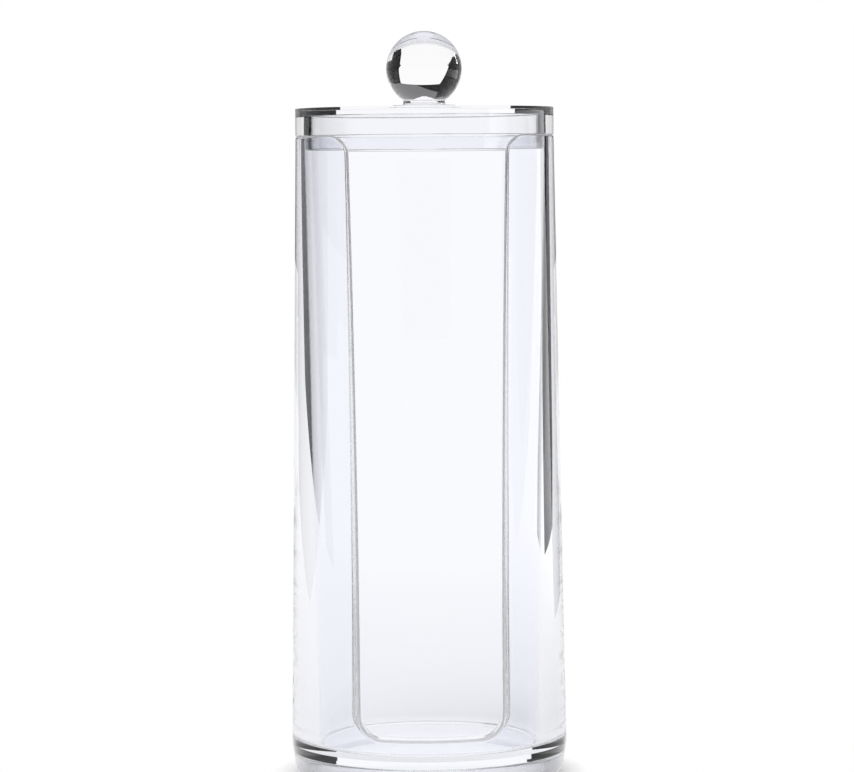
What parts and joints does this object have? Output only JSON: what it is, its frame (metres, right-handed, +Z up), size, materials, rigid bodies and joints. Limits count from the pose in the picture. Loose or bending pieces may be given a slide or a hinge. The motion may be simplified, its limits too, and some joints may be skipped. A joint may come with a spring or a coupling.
{
  "type": "cotton pad organizer",
  "caption": "Tall round clear plastic jar with a tapered wall and an open front slot for taking out cotton pads, closed by a plug lid with a ball knob.",
  "frame": {"origin": "on the jar's axis, at table level under the foot ring", "axes": "+Z up along the jar's axis, -Y out through the front slot, +X to the right seen from the front"},
  "size_m": [0.0728, 0.0728, 0.1961],
  "materials": {
    "clear_body": "polished, crystal clear",
    "clear_lid": "polished, crystal clear",
    "clear_knob": "polished, crystal clear"
  },
  "bodies": {
    "jar_body": {"jar": "clear_body"},
    "lid_body": {"lid": "clear_lid", "knob": "clear_knob"}
  },
  "joints": [
    {"name": "lid_lift", "type": "slide", "parent": "jar_body", "child": "lid_body", "axis": [0, 0, 1], "range_m": [0, 0.06]}
  ]
}
